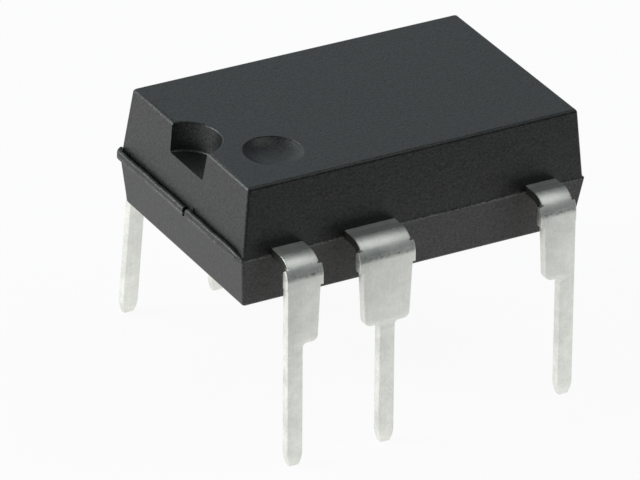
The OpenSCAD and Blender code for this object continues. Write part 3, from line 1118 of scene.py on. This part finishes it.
class ChipMakeStage(bpy.types.Operator):
    """Builds the floor, the lamps, the world and the camera at the photo's viewing angle"""

    bl_idname = "chip.make_stage"
    bl_label = "Stage"

    def execute(self, context):
        scene = context.scene
        settings = scene.chip_stage
        half = settings.floor_size / 2
        corners = [(-half, -half, 0), (half, -half, 0), (half, half, 0), (-half, half, 0)]
        mesh = bpy.data.meshes.new("floor")
        mesh.from_pydata(corners, [], [(0, 1, 2, 3)])
        floor = bpy.data.objects.new("floor", mesh)
        scene.collection.objects.link(floor)
        mesh.materials.append(self.table_top(settings.table_glow))
        for name, direction, strength, angle in (
            ("key lamp", KEY_DIRECTION, settings.key_strength, KEY_ANGLE),
            ("top lamp", TOP_DIRECTION, settings.top_strength, TOP_ANGLE),
        ):
            data = bpy.data.lights.new(name, "SUN")
            data.energy = strength
            data.angle = radians(angle)
            lamp = bpy.data.objects.new(name, data)
            scene.collection.objects.link(lamp)
            lamp.rotation_mode = "QUATERNION"
            lamp.rotation_quaternion = Vector(direction).to_track_quat("Z", "Y")
            lamp.location = Vector(direction) * LAMP_DISTANCE * MM
        scene.view_settings.view_transform = "Standard"
        self.world(scene, settings.surround)
        self.camera(scene)
        return {"FINISHED"}

    def table_top(self, glow):
        """White sheet that looks evenly lit, dims towards the front and keeps the part's faint shadow."""
        mat, tree, shader, place = new_material("white acrylic sheet, satin")
        haze = add_node(
            tree, "ShaderNodeTexNoise", {"Scale": 1 / (SHEET_HAZE * MM), "Detail": 3.0}, {"Vector": place}
        )
        bump = add_node(
            tree, "ShaderNodeBump", {"Strength": 0.05, "Distance": 0.02 * MM}, {"Height": haze.outputs["Fac"]}
        )
        shader.inputs["Base Color"].default_value = linear("#f2f2f2")
        shader.inputs["Roughness"].default_value = 0.9
        shader.inputs["Specular IOR Level"].default_value = 0.0
        tree.links.new(bump.outputs[0], shader.inputs["Normal"])
        # Mirrored in the part, the sheet fades out in front of it, one to two centimetres away
        along = add_node(
            tree, "ShaderNodeVectorMath", {"operation": "DOT_PRODUCT", 1: FADE_DIRECTION}, {0: place}
        )
        fade = add_node(
            tree,
            "ShaderNodeMapRange",
            {
                "From Min": -FADE_FAR * MM,
                "From Max": -FADE_NEAR * MM,
                "To Min": FADE_LEVEL,
                "To Max": 1.0,
                "interpolation_type": "SMOOTHSTEP",
            },
            {"Value": along.outputs["Value"]},
        )
        path = add_node(tree, "ShaderNodeLightPath")
        strength = add_node(
            tree,
            "ShaderNodeMath",
            {"operation": "MAXIMUM"},
            {0: fade.outputs[0], 1: path.outputs["Is Camera Ray"]},
        )
        shine = add_node(
            tree, "ShaderNodeEmission", {"Color": linear("#ffffff")}, {"Strength": strength.outputs[0]}
        )
        seen = seen_rays(tree, path)
        share = add_node(tree, "ShaderNodeMath", {"operation": "MULTIPLY", 1: glow}, {0: seen})
        both = add_node(
            tree,
            "ShaderNodeMixShader",
            links={0: share.outputs[0], 1: shader.outputs[0], 2: shine.outputs[0]},
        )
        output = next(n for n in tree.nodes if n.type == "OUTPUT_MATERIAL")
        tree.links.new(both.outputs[0], output.inputs["Surface"])
        return mat

    def world(self, scene, strength):
        """A surround that mirrors light at the back left and dark in front, and is white to the camera."""
        world = bpy.data.worlds.new("surround")
        scene.world = world
        world.use_nodes = True
        tree = world.node_tree
        tree.nodes.clear()
        place = add_node(tree, "ShaderNodeTexCoord").outputs["Generated"]
        back = add_node(
            tree, "ShaderNodeVectorMath", {"operation": "DOT_PRODUCT", 1: SKY_DIRECTION}, {0: place}
        )
        level = add_node(
            tree,
            "ShaderNodeMapRange",
            {
                "From Min": SKY_START,
                "From Max": 1.0,
                "To Min": SKY_DARK,
                "To Max": SKY_BRIGHT,
                "interpolation_type": "SMOOTHSTEP",
            },
            {"Value": back.outputs["Value"]},
        )
        scaled = add_node(
            tree, "ShaderNodeMath", {"operation": "MULTIPLY", 1: strength}, {0: level.outputs[0]}
        )
        path = add_node(tree, "ShaderNodeLightPath")
        camera = path.outputs["Is Camera Ray"]
        level = add_node(
            tree, "ShaderNodeMath", {"operation": "MAXIMUM"}, {0: scaled.outputs[0], 1: camera}
        )
        hue = add_node(
            tree,
            "ShaderNodeMix",
            {"data_type": "RGBA", 6: linear(SKY_COLOUR), 7: linear("#ffffff")},
            {0: camera},
        )
        shine = add_node(
            tree, "ShaderNodeBackground", links={"Color": hue.outputs[2], "Strength": level.outputs[0]}
        )
        # Light that is scattered comes evenly from all round
        even = add_node(
            tree, "ShaderNodeBackground", {"Color": linear(SKY_COLOUR), "Strength": strength * EVEN_SHARE}
        )
        seen = seen_rays(tree, path)
        mix = add_node(
            tree, "ShaderNodeMixShader", links={0: seen, 1: even.outputs[0], 2: shine.outputs[0]}
        )
        add_node(tree, "ShaderNodeOutputWorld", links={"Surface": mix.outputs[0]})

    def camera(self, scene):
        """The photo's camera: turned about Z, tilted up from straight down, and rolled."""
        data = bpy.data.cameras.new("camera")
        data.lens = CAMERA_LENS
        data.sensor_width = CAMERA_SENSOR
        data.clip_start, data.clip_end = 0.001, 10.0
        cam = bpy.data.objects.new("camera", data)
        scene.collection.objects.link(cam)
        place = Matrix.Translation(Vector(CAMERA_PLACE) * MM)
        for angle, axis in ((CAMERA_TURN, "Z"), (CAMERA_TILT, "X"), (CAMERA_ROLL, "Z")):
            place = place @ Matrix.Rotation(radians(angle), 4, axis)
        cam.matrix_world = place
        scene.camera = cam


class ChipPanel(bpy.types.Panel):
    """Lists the chip's sizes and the operators that build it"""

    bl_idname = "VIEW3D_PT_chip"
    bl_label = "Dual in-line chip"
    bl_space_type = "VIEW_3D"
    bl_region_type = "UI"
    bl_category = "Chip"

    def draw(self, context):
        scene = context.scene
        body = ("edge_radius", "corner_radius", "grain_size", "colour")
        lead = ("edge_radius", "bend_steps", "colour")
        stage = ("key_strength", "top_strength", "table_glow", "surround", "floor_size")
        for title, group, names, operator in (
            ("Body", scene.chip_body, body, ChipMakeBody),
            ("Leads", scene.chip_lead, lead, ChipMakeLeads),
            ("Inside", None, (), ChipFinishInside),
            ("Stage", scene.chip_stage, stage, ChipMakeStage),
        ):
            box = self.layout.box()
            box.label(text=title)
            for name in names:
                box.prop(group, name)
            box.operator(operator.bl_idname)


CLASSES = (
    ChipBodySettings,
    ChipLeadSettings,
    ChipStageSettings,
    ChipMakeBody,
    ChipMakeLeads,
    ChipFinishInside,
    ChipMakeStage,
    ChipPanel,
)


def register():
    for cls in CLASSES:
        bpy.utils.register_class(cls)
    bpy.types.Scene.chip_body = PointerProperty(type=ChipBodySettings)
    bpy.types.Scene.chip_lead = PointerProperty(type=ChipLeadSettings)
    bpy.types.Scene.chip_stage = PointerProperty(type=ChipStageSettings)


def unregister():
    del bpy.types.Scene.chip_stage
    del bpy.types.Scene.chip_lead
    del bpy.types.Scene.chip_body
    for cls in reversed(CLASSES):
        bpy.utils.unregister_class(cls)


def main():
    register()
    bpy.ops.chip.make_body()
    bpy.ops.chip.make_leads()
    bpy.ops.chip.finish_inside()
    bpy.ops.chip.make_stage()


if __name__ == "__main__":
    main()
